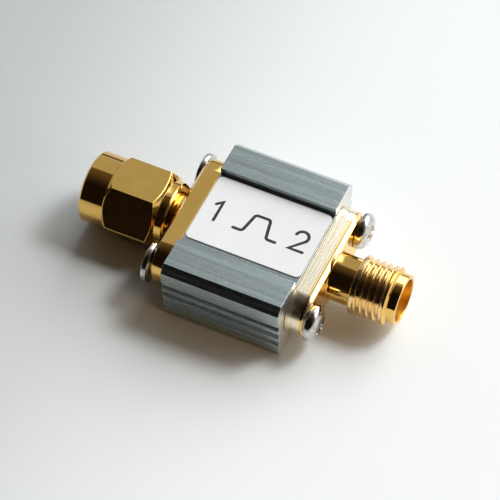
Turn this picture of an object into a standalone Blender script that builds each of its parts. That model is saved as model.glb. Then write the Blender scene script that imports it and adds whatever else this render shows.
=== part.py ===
"""Small in-line RF bandpass filter with coaxial connectors at both ends.

A ribbed aluminium extrusion carries a circuit board. A flanged male connector
with a hexagonal coupling nut is screwed to one end, and a flanged female
connector with an outside thread to the other.

X runs along the connectors from the male to the female end, Y across the
housing and Z up. The origin is the middle of the housing's base.
"""

import math

import bmesh
import bpy
from mathutils import Matrix, Vector

MM = 0.001

# Housing, an extruded bar
HOUSING_LENGTH = 13.3 * MM
HOUSING_WIDTH = 18.5 * MM
HOUSING_HEIGHT = 7.7 * MM
TOP_CHAMFER = 0.8 * MM
BASE_CHAMFER = 0.3 * MM
CHANNEL_WIDTH = 10.0 * MM
CHANNEL_DEPTH = 0.85 * MM
GROOVE_COUNT = 3
GROOVE_PITCH = 1.3 * MM
GROOVE_MOUTH = 0.9 * MM
GROOVE_DEPTH = 0.26 * MM
GROOVE_FLAT = 0.12 * MM
FIRST_GROOVE_DROP = 2.95 * MM
CAVITY_WALL = 0.9 * MM
CAVITY_HEIGHT = 4.4 * MM
CAVITY_CORNER = 0.5 * MM
BOARD_SLOT_DEPTH = 0.35 * MM

# Label in the channel
LABEL_END_MARGIN = 0.12 * MM
LABEL_FRONT_MARGIN = 1.05 * MM
LABEL_BACK_MARGIN = 0.35 * MM
LABEL_THICKNESS = 0.12 * MM
LABEL_CORNER = 0.55 * MM

# Flanges and the shanks of their screws, alike on both connectors
FLANGE_THICKNESS = 2.2 * MM
FLANGE_CHAMFER = 0.4 * MM
FLANGE_END_MARGIN = 1.6 * MM
FLANGE_HEIGHT = 5.72 * MM
SCREW_SPACING = 12.7 * MM
SCREW_DIAMETER = 2.0 * MM
SCREW_REACH = 3.2 * MM
SCREW_POINT = 0.3 * MM
RECESS_SPAN = 2.2 * MM
RECESS_WIDTH = 0.5 * MM
RECESS_TAPER = 0.5

# Domed screw heads of the female connector
FEMALE_HEAD_DIAMETER = 4.0 * MM
FEMALE_HEAD_HEIGHT = 1.25 * MM
FEMALE_HEAD_RIM = 0.4 * MM
FEMALE_RECESS_DEPTH = 0.75 * MM

# Low screw heads of the male connector, which leave room for the nut
MALE_HEAD_DIAMETER = 4.5 * MM
MALE_HEAD_HEIGHT = 0.6 * MM
MALE_HEAD_RIM = 0.35 * MM
MALE_RECESS_DEPTH = 0.4 * MM

# Interface sizes that every connector of this kind shares
THREAD_MAJOR_DIAMETER = 6.35 * MM
THREAD_PITCH = 25.4 / 36 * MM
THREAD_DEPTH = 0.38 * MM
LINE_BORE_DIAMETER = 4.16 * MM
SHELL_WALL = 0.195 * MM
SHELL_FIT_GAP = 0.025 * MM
CONTACT_DIAMETER = 1.27 * MM
PIN_DIAMETER = 0.914 * MM
TAIL_DIAMETER = 0.8 * MM
TAIL_REACH = 1.6 * MM

# Female connector
FEMALE_BARREL_DIAMETER = 5.2 * MM
FEMALE_BARREL_LENGTH = 2.65 * MM
FEMALE_RING_WIDTH = 0.35 * MM
FEMALE_THREAD_TURNS = 5
FEMALE_NOSE_WALL = 0.42 * MM
FEMALE_NOSE_LENGTH = 1.2 * MM
FEMALE_BORE_DEPTH = 1.95 * MM
RIM_CHAMFER = 0.1 * MM
SOCKET_DIAMETER = 0.95 * MM
SOCKET_DEPTH = 2.7 * MM
SOCKET_SLOT_WIDTH = 0.18 * MM
SOCKET_SLOT_LENGTH = 2.0 * MM

# Male connector
BARE_JOURNAL_LENGTH = 0.61 * MM
JOURNAL_WALL = 0.54 * MM
JOURNAL_TIP_LENGTH = 0.85 * MM
SHELL_LENGTH = 2.8 * MM
PIN_REACH = 2.2 * MM
PIN_TIP_LENGTH = 0.35 * MM
PIN_TIP_DIAMETER = 0.4 * MM
EDGE_CHAMFER = 0.15 * MM

# Coupling nut
NUT_ACROSS_FLATS = 8.0 * MM
NUT_ROUND_DIAMETER = 7.88 * MM
NUT_ROUND_LENGTH = 2.8 * MM
NUT_FRONT_CHAMFER = 0.22 * MM
NUT_FRONT_SLOPE = 0.85 * MM
NUT_REAR_SLOPE = 1.0 * MM
NUT_BOSS_DIAMETER = 7.2 * MM
NUT_BOSS_LENGTH = 0.66 * MM
NUT_BOSS_CHAMFER = 0.2 * MM
NUT_REAR_WALL = 2.14 * MM
NUT_LIP_LENGTH = 0.5 * MM
NUT_THREAD_LENGTH = 4.4 * MM
NUT_RELIEF_MARGIN = 0.23 * MM
NUT_TURN = math.radians(-1.5)

# Snap ring and gasket inside the nut
RING_WIDTH = 0.5 * MM
RING_GROOVE_DEPTH = 0.29 * MM
RING_STAND_OUT = 0.28 * MM
RING_OPENING = 1.2 * MM
GASKET_THICKNESS = 0.7 * MM
GASKET_WIDTH = 0.735 * MM
GASKET_GAP = 0.2 * MM

# Board and the parts on it
BOARD_THICKNESS = 0.8 * MM
BOARD_END_MARGIN = 0.25 * MM
FILTER_CHIP_LENGTH = 3.2 * MM
FILTER_CHIP_WIDTH = 2.5 * MM
FILTER_CHIP_HEIGHT = 1.1 * MM
SMALL_CHIP_LENGTH = 1.0 * MM
SMALL_CHIP_WIDTH = 0.5 * MM
CHIP_OFFSET_X = 2.75 * MM
CHIP_OFFSET_Y = 1.4 * MM
CHIP_EDGE = 0.06 * MM
SOLDER_LENGTH = 1.6 * MM
SOLDER_WIDTH = 1.9 * MM
SOLDER_HEIGHT = 0.55 * MM

# Clearances
SEAT_GAP = 0.04 * MM
RUNNING_GAP = 0.05 * MM
SCREW_HOLE_GAP = 0.15 * MM

# Turns of the four screw heads
SCREW_TURNS = (math.radians(20), math.radians(65), math.radians(40), math.radians(8))

# Facets
ROUND_STEPS = 48
SMALL_STEPS = 24
ARC_STEPS = 5

# Diameters and widths worked out from the sizes above
CAVITY_WIDTH = SCREW_SPACING - SCREW_DIAMETER - 2 * (BOARD_SLOT_DEPTH + CAVITY_WALL)
LABEL_WIDTH = CHANNEL_WIDTH - LABEL_FRONT_MARGIN - LABEL_BACK_MARGIN
LABEL_SHIFT = (LABEL_FRONT_MARGIN - LABEL_BACK_MARGIN) / 2
FLANGE_WIDTH = SCREW_SPACING + 2 * FLANGE_END_MARGIN
SHELL_DIAMETER = LINE_BORE_DIAMETER + 2 * SHELL_WALL
FEMALE_BORE_DIAMETER = SHELL_DIAMETER + 2 * SHELL_FIT_GAP
FEMALE_NOSE_DIAMETER = FEMALE_BORE_DIAMETER + 2 * FEMALE_NOSE_WALL
JOURNAL_DIAMETER = LINE_BORE_DIAMETER + 2 * JOURNAL_WALL
RING_GROOVE_DIAMETER = JOURNAL_DIAMETER - 2 * RING_GROOVE_DEPTH
RING_OUTER_DIAMETER = JOURNAL_DIAMETER + 2 * RING_STAND_OUT
GASKET_BORE_DIAMETER = SHELL_DIAMETER + 2 * SEAT_GAP
GASKET_DIAMETER = GASKET_BORE_DIAMETER + 2 * GASKET_WIDTH
NUT_RELIEF_DIAMETER = GASKET_DIAMETER + 2 * GASKET_GAP

# Places worked out from the sizes above
AXIS_HEIGHT = HOUSING_HEIGHT / 2
FLANGE_INNER_X = HOUSING_LENGTH / 2 + SEAT_GAP
FLANGE_OUTER_X = FLANGE_INNER_X + FLANGE_THICKNESS
THREAD_RADIUS = THREAD_MAJOR_DIAMETER / 2
THREAD_LENGTH = FEMALE_THREAD_TURNS * THREAD_PITCH
NUT_CORNER_RADIUS = NUT_ACROSS_FLATS / 2 / math.cos(math.pi / 6)
BOARD_TOP = AXIS_HEIGHT - TAIL_DIAMETER / 2 - SEAT_GAP
NUT_REAR_X = FLANGE_OUTER_X + BARE_JOURNAL_LENGTH
RING_GROOVE_X = NUT_REAR_X + NUT_REAR_WALL
RING_POCKET_END_X = RING_GROOVE_X + RING_WIDTH + RUNNING_GAP
NUT_LIP_END_X = RING_POCKET_END_X + NUT_LIP_LENGTH
JOURNAL_END = NUT_LIP_END_X + JOURNAL_TIP_LENGTH
MALE_FACE_X = JOURNAL_END + SHELL_LENGTH
GASKET_END_X = JOURNAL_END + SEAT_GAP + GASKET_THICKNESS
NUT_RELIEF_END_X = GASKET_END_X + NUT_RELIEF_MARGIN
NUT_FRONT_X = NUT_RELIEF_END_X + THREAD_DEPTH + NUT_THREAD_LENGTH
NUT_LENGTH = NUT_FRONT_X - NUT_REAR_X
FEMALE_THREAD_X = FLANGE_OUTER_X + FEMALE_BARREL_LENGTH
FEMALE_NOSE_X = FEMALE_THREAD_X + FEMALE_RING_WIDTH + THREAD_LENGTH
FEMALE_RIM_X = FEMALE_NOSE_X + FEMALE_NOSE_LENGTH
FEMALE_FACE_X = FEMALE_RIM_X - FEMALE_BORE_DEPTH

TOWARDS_FEMALE = 1
TOWARDS_MALE = -1


def clear_scene():
    for old in list(bpy.data.objects):
        bpy.data.objects.remove(old, do_unlink=True)


def new_collection(name):
    collection = bpy.data.collections.new(name)
    bpy.context.scene.collection.children.link(collection)
    return collection


def new_material(name, colour, roughness, metallic):
    material = bpy.data.materials.new(name)
    material.use_nodes = True
    shader = material.node_tree.nodes["Principled BSDF"]
    shader.inputs["Base Color"].default_value = (*colour, 1.0)
    shader.inputs["Roughness"].default_value = roughness
    shader.inputs["Metallic"].default_value = metallic
    return material


def add_object(name, mesh, collection, material=None):
    obj = bpy.data.objects.new(name, mesh)
    collection.objects.link(obj)
    if material is not None:
        mesh.materials.append(material)
    return obj


def mesh_from_bmesh(name, shape):
    bmesh.ops.recalc_face_normals(shape, faces=shape.faces)
    mesh = bpy.data.meshes.new(name)
    shape.to_mesh(mesh)
    shape.free()
    return mesh


def box_mesh(name, size):
    shape = bmesh.new()
    bmesh.ops.create_cube(shape, size=1.0)
    bmesh.ops.scale(shape, vec=Vector(size), verts=shape.verts)
    return mesh_from_bmesh(name, shape)


def cylinder_mesh(name, radius, length, steps):
    shape = bmesh.new()
    bmesh.ops.create_cone(shape, cap_ends=True, segments=steps,
                          radius1=radius, radius2=radius, depth=length)
    return mesh_from_bmesh(name, shape)


def mark_cutter(obj):
    obj.hide_render = True
    obj.display_type = "WIRE"


def add_boolean(obj, operation, cutter):
    modifier = obj.modifiers.new(operation.title(), "BOOLEAN")
    modifier.operation = operation
    modifier.object = cutter
    modifier.solver = "EXACT"


def along_axis(obj, side):
    """Turn an object's local Z to the outward direction of one end."""
    obj.rotation_euler = (0.0, side * math.pi / 2, 0.0)
    obj.location = (0.0, 0.0, AXIS_HEIGHT)


def turned(name, outline, collection, steps=ROUND_STEPS, material=None):
    """Revolve an outline of (place along the axis, radius) points about local Z."""
    area = 0.0
    for (z1, r1), (z2, r2) in zip(outline, outline[1:] + outline[:1]):
        area += r1 * z2 - r2 * z1
    if area > 0:
        outline = outline[::-1]
    closed = all(radius > 0 for _, radius in outline)
    shape = bmesh.new()
    points = [shape.verts.new((radius, 0.0, place)) for place, radius in outline]
    for first, second in zip(points, points[1:]):
        shape.edges.new((first, second))
    if closed:
        shape.edges.new((points[-1], points[0]))
    mesh = bpy.data.meshes.new(name)
    shape.to_mesh(mesh)
    shape.free()
    obj = add_object(name, mesh, collection, material)
    screw = obj.modifiers.new("Turn", "SCREW")
    screw.axis = "Z"
    screw.steps = steps
    screw.render_steps = steps
    screw.use_merge_vertices = True
    screw.merge_threshold = 0.000001
    screw.use_smooth_shade = True
    return obj


def outline_mesh(name, loops, thickness):
    """A flat plate from closed outlines in local XY, the first with the rest as holes."""
    curve = bpy.data.curves.new(name, "CURVE")
    curve.dimensions = "2D"
    curve.fill_mode = "BOTH"
    curve.extrude = thickness / 2
    for loop in loops:
        spline = curve.splines.new("POLY")
        spline.points.add(len(loop) - 1)
        for point, (x, y) in zip(spline.points, loop):
            point.co = (x, y, 0.0, 1.0)
        spline.use_cyclic_u = True
    source = bpy.data.objects.new(name, curve)
    bpy.context.scene.collection.objects.link(source)
    depsgraph = bpy.context.evaluated_depsgraph_get()
    mesh = bpy.data.meshes.new_from_object(source.evaluated_get(depsgraph))
    mesh.name = name
    bpy.data.objects.remove(source, do_unlink=True)
    bpy.data.curves.remove(curve)
    shape = bmesh.new()
    shape.from_mesh(mesh)
    bmesh.ops.remove_doubles(shape, verts=shape.verts, dist=0.000001)
    bmesh.ops.recalc_face_normals(shape, faces=shape.faces)
    shape.to_mesh(mesh)
    shape.free()
    return mesh


def corner_arc(centre_x, centre_y, radius, start, end, steps=ARC_STEPS):
    points = []
    for i in range(steps + 1):
        angle = start + (end - start) * i / steps
        points.append((centre_x + radius * math.cos(angle), centre_y + radius * math.sin(angle)))
    return points


def rounded_rectangle(width, height, radius, steps=ARC_STEPS):
    x = width / 2 - radius
    y = height / 2 - radius
    quarter = math.pi / 2
    points = []
    for i, (sx, sy) in enumerate(((1, 1), (-1, 1), (-1, -1), (1, -1))):
        points += corner_arc(sx * x, sy * y, radius, i * quarter, (i + 1) * quarter, steps)
    return points


def oval(width, length, steps=6 * ARC_STEPS):
    """Outline with straight sides and half-round ends, its length along local Y."""
    reach = (length - width) / 2
    far_end = corner_arc(0.0, reach, width / 2, 0.0, math.pi, steps)
    near_end = corner_arc(0.0, -reach, width / 2, math.pi, 2 * math.pi, steps)
    return far_end + near_end


def lofted(name, sections):
    """A solid through (outline, height) sections that have equally many points."""
    shape = bmesh.new()
    rings = []
    for loop, height in sections:
        rings.append([shape.verts.new((x, y, height)) for x, y in loop])
    for lower, upper in zip(rings, rings[1:]):
        for i in range(len(lower)):
            shape.faces.new((lower[i - 1], lower[i], upper[i], upper[i - 1]))
    shape.faces.new(rings[0])
    shape.faces.new(rings[-1])
    return mesh_from_bmesh(name, shape)


def housing_section():
    """Outer outline of the extrusion, seen along X, as (across, up) points."""
    half = HOUSING_WIDTH / 2
    top = HOUSING_HEIGHT
    right = [(CHANNEL_WIDTH / 2, top - CHANNEL_DEPTH), (CHANNEL_WIDTH / 2, top),
             (half - TOP_CHAMFER, top), (half, top - TOP_CHAMFER)]
    for i in range(GROOVE_COUNT):
        middle = top - FIRST_GROOVE_DROP - i * GROOVE_PITCH
        right += [(half, middle + GROOVE_MOUTH / 2),
                  (half - GROOVE_DEPTH, middle + GROOVE_FLAT / 2),
                  (half - GROOVE_DEPTH, middle - GROOVE_FLAT / 2),
                  (half, middle - GROOVE_MOUTH / 2)]
    right += [(half, BASE_CHAMFER), (half - BASE_CHAMFER, 0.0)]
    left = [(-across, up) for across, up in reversed(right)]
    return right + left


def cavity_section():
    """Outline of the hollow that holds the board, with a slot at each side."""
    low = AXIS_HEIGHT - CAVITY_HEIGHT / 2
    half = CAVITY_WIDTH / 2
    slot_half = half + BOARD_SLOT_DEPTH
    slot_top = BOARD_TOP + SEAT_GAP
    slot_low = BOARD_TOP - BOARD_THICKNESS - SEAT_GAP
    high = low + CAVITY_HEIGHT
    inset = half - CAVITY_CORNER
    quarter = math.pi / 2
    right = [(half, slot_low), (slot_half, slot_low), (slot_half, slot_top), (half, slot_top)]
    right += corner_arc(inset, high - CAVITY_CORNER, CAVITY_CORNER, 0.0, quarter)
    lower = corner_arc(inset, low + CAVITY_CORNER, CAVITY_CORNER, -quarter, 0.0)
    right = lower + right
    left = [(-across, up) for across, up in reversed(right)]
    return right + left


def build_housing(parts, cutters, material):
    section = [housing_section(), cavity_section()]
    mesh = outline_mesh("housing", section, HOUSING_LENGTH)
    mesh.transform(Matrix(((0, 0, 1, 0), (1, 0, 0, 0), (0, 1, 0, 0), (0, 0, 0, 1))))
    housing = add_object("housing", mesh, parts, material)
    hole_depth = SCREW_REACH + 3 * SEAT_GAP
    for side in (TOWARDS_MALE, TOWARDS_FEMALE):
        for across in (-1, 1):
            length = 2 * hole_depth
            hole = add_object("screw_hole_cutter",
                              cylinder_mesh("screw_hole_cutter", SCREW_DIAMETER / 2 + SEAT_GAP,
                                            length, SMALL_STEPS), cutters)
            along_axis(hole, side)
            hole.location.x = side * HOUSING_LENGTH / 2
            hole.location.y = across * SCREW_SPACING / 2
            mark_cutter(hole)
            add_boolean(housing, "DIFFERENCE", hole)
    return housing


def build_label(parts, material):
    length = HOUSING_LENGTH - 2 * LABEL_END_MARGIN
    loop = rounded_rectangle(length, LABEL_WIDTH, LABEL_CORNER)
    mesh = outline_mesh("label", [loop], LABEL_THICKNESS)
    label = add_object("label", mesh, parts, material)
    floor = HOUSING_HEIGHT - CHANNEL_DEPTH
    label.location = (0.0, LABEL_SHIFT, floor + SEAT_GAP + LABEL_THICKNESS / 2)
    return label


def flange_plate_mesh():
    """Oval plate rising from local XY, with a chamfer round its outer face."""
    rim = oval(FLANGE_HEIGHT, FLANGE_WIDTH)
    crown = oval(FLANGE_HEIGHT - 2 * FLANGE_CHAMFER, FLANGE_WIDTH - 2 * FLANGE_CHAMFER)
    return lofted("flange_plate", [(rim, 0.0), (rim, FLANGE_THICKNESS - FLANGE_CHAMFER),
                                   (crown, FLANGE_THICKNESS)])


def add_flange(body, side, neck_radius, cutters):
    """Join the oval flange plate to a turned body and drill its two screw holes."""
    opening_radius = (LINE_BORE_DIAMETER / 2 + neck_radius) / 2
    opening = add_object("flange_opening_cutter",
                         cylinder_mesh("flange_opening_cutter", opening_radius,
                                       3 * FLANGE_THICKNESS, ROUND_STEPS), cutters)
    plate = add_object("flange_plate", flange_plate_mesh(), cutters)
    for piece in (opening, plate):
        along_axis(piece, side)
        piece.location.x = side * FLANGE_INNER_X
        mark_cutter(piece)
    add_boolean(plate, "DIFFERENCE", opening)
    add_boolean(body, "UNION", plate)
    for across in (-1, 1):
        hole = add_object("flange_hole_cutter",
                          cylinder_mesh("flange_hole_cutter",
                                        SCREW_DIAMETER / 2 + SCREW_HOLE_GAP,
                                        3 * FLANGE_THICKNESS, SMALL_STEPS), cutters)
        along_axis(hole, side)
        hole.location.x = side * (FLANGE_INNER_X + FLANGE_THICKNESS / 2)
        hole.location.y = across * SCREW_SPACING / 2
        mark_cutter(hole)
        add_boolean(body, "DIFFERENCE", hole)


def build_female_body(parts, cutters, material):
    """Flange, barrel and threaded nose, turned from one bar."""
    root = THREAD_RADIUS - THREAD_DEPTH
    barrel = FEMALE_BARREL_DIAMETER / 2
    nose = FEMALE_NOSE_DIAMETER / 2
    bore = FEMALE_BORE_DIAMETER / 2
    line = LINE_BORE_DIAMETER / 2
    outline = [(FLANGE_INNER_X, line), (FLANGE_INNER_X, barrel),
               (FEMALE_THREAD_X, barrel),
               (FEMALE_THREAD_X, THREAD_RADIUS - EDGE_CHAMFER),
               (FEMALE_THREAD_X + EDGE_CHAMFER, THREAD_RADIUS)]
    crest = THREAD_PITCH / 8
    place = FEMALE_THREAD_X + FEMALE_RING_WIDTH
    for _ in range(FEMALE_THREAD_TURNS):
        outline += [(place, THREAD_RADIUS),
                    (place + THREAD_PITCH / 2 - crest / 2, root),
                    (place + THREAD_PITCH / 2 + crest / 2, root),
                    (place + THREAD_PITCH - crest, THREAD_RADIUS)]
        place += THREAD_PITCH
    outline += [(FEMALE_NOSE_X, THREAD_RADIUS),
                (FEMALE_NOSE_X + (THREAD_RADIUS - nose) / 2, nose),
                (FEMALE_RIM_X - RIM_CHAMFER, nose),
                (FEMALE_RIM_X, nose - RIM_CHAMFER),
                (FEMALE_RIM_X, bore + RIM_CHAMFER),
                (FEMALE_RIM_X - RIM_CHAMFER, bore),
                (FEMALE_FACE_X, bore),
                (FEMALE_FACE_X, line)]
    body = turned("female_body", outline, parts, material=material)
    along_axis(body, TOWARDS_FEMALE)
    add_flange(body, TOWARDS_FEMALE, barrel, cutters)
    return body


def dielectric_outline(face_x):
    """Insulator from the flange's inner side to the mating plane, round a stepped hole."""
    outer = LINE_BORE_DIAMETER / 2 - SEAT_GAP
    wide = CONTACT_DIAMETER / 2 + SEAT_GAP
    narrow = TAIL_DIAMETER / 2 + SEAT_GAP
    return [(FLANGE_INNER_X, narrow), (FLANGE_INNER_X, outer), (face_x, outer),
            (face_x, wide), (FLANGE_OUTER_X, wide), (FLANGE_OUTER_X, narrow)]


def build_dielectric(name, face_x, side, parts, material):
    insulator = turned(name, dielectric_outline(face_x), parts, material=material)
    along_axis(insulator, side)
    return insulator


def tail_outline():
    """Rear pin of a centre contact, from its tip over the board to its shoulder."""
    tip = HOUSING_LENGTH / 2 - TAIL_REACH
    tail = TAIL_DIAMETER / 2
    shoulder = FLANGE_OUTER_X + SEAT_GAP
    return [(tip, 0.0), (tip, tail), (shoulder, tail), (shoulder, CONTACT_DIAMETER / 2)]


def build_female_contact(parts, cutters, material):
    """Centre contact whose front end is a slotted socket."""
    outer = CONTACT_DIAMETER / 2
    socket = SOCKET_DIAMETER / 2
    outline = tail_outline()
    outline += [(FEMALE_FACE_X - SEAT_GAP, outer), (FEMALE_FACE_X, outer - SEAT_GAP),
                (FEMALE_FACE_X, socket), (FEMALE_FACE_X - SOCKET_DEPTH, socket),
                (FEMALE_FACE_X - SOCKET_DEPTH - socket / 2, 0.0)]
    contact = turned("female_contact", outline, parts, steps=SMALL_STEPS, material=material)
    along_axis(contact, TOWARDS_FEMALE)
    for turn in (0.0, math.pi / 2):
        size = (3 * CONTACT_DIAMETER, SOCKET_SLOT_WIDTH, 2 * SOCKET_SLOT_LENGTH)
        slot = add_object("socket_slot_cutter", box_mesh("socket_slot_cutter", size), cutters)
        matrix = Matrix.Rotation(math.pi / 2, 4, "Y") @ Matrix.Rotation(turn, 4, "Z")
        slot.matrix_world = Matrix.Translation((FEMALE_FACE_X, 0.0, AXIS_HEIGHT)) @ matrix
        mark_cutter(slot)
        add_boolean(contact, "DIFFERENCE", slot)
    return contact


def build_male_body(parts, cutters, material):
    """Flange, nut journal and mating shell, turned from one bar."""
    journal = JOURNAL_DIAMETER / 2
    groove = RING_GROOVE_DIAMETER / 2
    shell = SHELL_DIAMETER / 2
    line = LINE_BORE_DIAMETER / 2
    outline = [(FLANGE_INNER_X, line), (FLANGE_INNER_X, journal),
               (RING_GROOVE_X - SEAT_GAP, journal), (RING_GROOVE_X - SEAT_GAP, groove),
               (RING_GROOVE_X + RING_WIDTH + SEAT_GAP, groove),
               (RING_GROOVE_X + RING_WIDTH + SEAT_GAP, journal),
               (JOURNAL_END, journal), (JOURNAL_END, shell),
               (MALE_FACE_X - SEAT_GAP, shell), (MALE_FACE_X, shell - SEAT_GAP),
               (MALE_FACE_X, line)]
    body = turned("male_body", outline, parts, material=material)
    along_axis(body, TOWARDS_MALE)
    add_flange(body, TOWARDS_MALE, journal, cutters)
    return body


def build_male_pin(parts, material):
    """Centre pin with a blunt cone at its tip."""
    wide = CONTACT_DIAMETER / 2
    pin = PIN_DIAMETER / 2
    tip = MALE_FACE_X + PIN_REACH
    outline = tail_outline()
    outline += [(MALE_FACE_X - SEAT_GAP, wide), (MALE_FACE_X - SEAT_GAP, pin),
                (tip - PIN_TIP_LENGTH, pin), (tip, PIN_TIP_DIAMETER / 2), (tip, 0.0)]
    obj = turned("male_pin", outline, parts, steps=SMALL_STEPS, material=material)
    along_axis(obj, TOWARDS_MALE)
    return obj


def nut_outline():
    """Section of the coupling nut before its hexagon is milled."""
    corner = NUT_CORNER_RADIUS + SEAT_GAP
    boss = NUT_BOSS_DIAMETER / 2
    boss_end = NUT_REAR_X + NUT_BOSS_LENGTH
    nose = NUT_ROUND_DIAMETER / 2
    front = NUT_FRONT_X
    hole = JOURNAL_DIAMETER / 2 + RUNNING_GAP
    ring = RING_OUTER_DIAMETER / 2 + RUNNING_GAP
    relief = NUT_RELIEF_DIAMETER / 2
    minor = THREAD_RADIUS - THREAD_DEPTH
    round_end = front - NUT_ROUND_LENGTH
    thread_end = front - NUT_THREAD_LENGTH
    return [(NUT_REAR_X, hole), (NUT_REAR_X, boss - NUT_BOSS_CHAMFER),
            (NUT_REAR_X + NUT_BOSS_CHAMFER, boss), (boss_end, boss),
            (boss_end + NUT_REAR_SLOPE, corner), (round_end - NUT_FRONT_SLOPE, corner),
            (round_end, nose), (front - NUT_FRONT_CHAMFER, nose),
            (front, nose - NUT_FRONT_CHAMFER),
            (front, THREAD_RADIUS), (front - THREAD_DEPTH, minor), (thread_end, minor),
            (NUT_RELIEF_END_X, relief), (NUT_LIP_END_X, relief), (NUT_LIP_END_X, hole),
            (RING_POCKET_END_X, hole), (RING_POCKET_END_X, ring),
            (RING_GROOVE_X - RUNNING_GAP, ring), (RING_GROOVE_X - RUNNING_GAP, hole)]


def build_coupling_nut(parts, cutters, material):
    nut = turned("coupling_nut", nut_outline(), parts, material=material)
    along_axis(nut, TOWARDS_MALE)
    prism = add_object("hexagon_cutter",
                       cylinder_mesh("hexagon_cutter", NUT_CORNER_RADIUS, 3 * NUT_LENGTH, 6),
                       cutters)
    place = Matrix.Translation((-(NUT_REAR_X + NUT_LENGTH / 2), 0.0, AXIS_HEIGHT))
    turn = Matrix.Rotation(NUT_TURN, 4, "X") @ Matrix.Rotation(-math.pi / 2, 4, "Y")
    prism.matrix_world = place @ turn
    mark_cutter(prism)
    add_boolean(nut, "INTERSECT", prism)
    return nut


def build_retaining_ring(parts, cutters, material):
    """Open spring ring that keeps the nut on the male body."""
    inner = RING_GROOVE_DIAMETER / 2 + SEAT_GAP
    outer = RING_OUTER_DIAMETER / 2
    outline = [(RING_GROOVE_X, inner), (RING_GROOVE_X, outer),
               (RING_GROOVE_X + RING_WIDTH, outer), (RING_GROOVE_X + RING_WIDTH, inner)]
    ring = turned("retaining_ring", outline, parts, material=material)
    along_axis(ring, TOWARDS_MALE)
    size = (2 * RING_WIDTH, RING_OPENING, RING_OUTER_DIAMETER)
    gap = add_object("ring_opening_cutter", box_mesh("ring_opening_cutter", size), cutters)
    gap.location = (-(RING_GROOVE_X + RING_WIDTH / 2), 0.0,
                    AXIS_HEIGHT + RING_OUTER_DIAMETER / 2)
    mark_cutter(gap)
    add_boolean(ring, "DIFFERENCE", gap)
    return ring


def build_gasket(parts, material):
    inner = GASKET_BORE_DIAMETER / 2
    outer = GASKET_DIAMETER / 2
    start = JOURNAL_END + SEAT_GAP
    outline = [(start, inner), (start, outer), (GASKET_END_X, outer), (GASKET_END_X, inner)]
    gasket = turned("nut_gasket", outline, parts, material=material)
    along_axis(gasket, TOWARDS_MALE)
    return gasket


def recess_arm(shape, depth, turn):
    """One arm of a cross recess, narrower at its foot."""
    made = bmesh.ops.create_cube(shape, size=1.0)["verts"]
    for vert in made:
        widen = RECESS_TAPER if vert.co.z > 0 else -RECESS_TAPER
        vert.co.x *= RECESS_SPAN * (1 + widen)
        vert.co.y *= RECESS_WIDTH * (1 + widen / 2)
        vert.co.z *= 2 * depth
    bmesh.ops.rotate(shape, verts=made, cent=(0, 0, 0), matrix=Matrix.Rotation(turn, 3, "Z"))


def dome_outline(seat, radius, height, rim):
    """Section of a domed screw head from its underside to its top."""
    outline = [(seat, radius - SEAT_GAP), (seat + SEAT_GAP, radius), (seat + rim, radius)]
    for i in range(1, ARC_STEPS + 2):
        angle = math.pi / 2 * i / (ARC_STEPS + 2)
        outline.append((seat + rim + (height - rim) * math.sin(angle),
                        radius * math.cos(angle) ** 0.8))
    return outline + [(seat + height, 0.0)]


def low_outline(seat, radius, height, rim):
    """Section of a low flat screw head from its underside to its top."""
    edge = height - rim
    outline = [(seat, radius - SEAT_GAP), (seat + SEAT_GAP, radius)]
    outline += [(seat + height - edge + up, radius - edge + out)
                for out, up in corner_arc(0.0, 0.0, edge, 0.0, math.pi / 2)]
    return outline + [(seat + height, 0.0)]


def build_screw(name, side, across, turn, parts, cutters, material):
    """Screw with a cross recess, through the flange into the housing."""
    shank = SCREW_DIAMETER / 2
    seat = FLANGE_OUTER_X + SEAT_GAP
    tip = HOUSING_LENGTH / 2 - SCREW_REACH
    outline = [(tip, 0.0), (tip, shank - SCREW_POINT), (tip + SCREW_POINT, shank),
               (seat, shank)]
    if side == TOWARDS_FEMALE:
        outline += dome_outline(seat, FEMALE_HEAD_DIAMETER / 2, FEMALE_HEAD_HEIGHT,
                                FEMALE_HEAD_RIM)
        depth = FEMALE_RECESS_DEPTH
    else:
        outline += low_outline(seat, MALE_HEAD_DIAMETER / 2, MALE_HEAD_HEIGHT, MALE_HEAD_RIM)
        depth = MALE_RECESS_DEPTH
    top = outline[-1][0]
    screw = turned(name, outline, parts, steps=SMALL_STEPS, material=material)
    along_axis(screw, side)
    screw.location.y = across * SCREW_SPACING / 2
    for arm in (0.0, math.pi / 2):
        shape = bmesh.new()
        recess_arm(shape, depth, turn + arm)
        cutter = add_object("recess_cutter", mesh_from_bmesh("recess_cutter", shape), cutters)
        along_axis(cutter, side)
        cutter.location.x = side * top
        cutter.location.y = screw.location.y
        mark_cutter(cutter)
        add_boolean(screw, "DIFFERENCE", cutter)
    return screw


def build_board(parts, material):
    length = HOUSING_LENGTH - 2 * BOARD_END_MARGIN
    width = CAVITY_WIDTH + 2 * (BOARD_SLOT_DEPTH - SEAT_GAP)
    board = add_object("circuit_board",
                       box_mesh("circuit_board", (length, width, BOARD_THICKNESS)),
                       parts, material)
    board.location.z = BOARD_TOP - BOARD_THICKNESS / 2
    return board


def build_chip(name, size, x, y, parts, material):
    """A surface-mount part with slightly rounded edges, standing on the board."""
    chip = add_object(name, box_mesh(name, size), parts, material)
    bevel = chip.modifiers.new("Edges", "BEVEL")
    bevel.width = CHIP_EDGE
    bevel.segments = 1
    chip.location = (x, y, BOARD_TOP + SEAT_GAP + size[2] / 2)
    return chip


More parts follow.
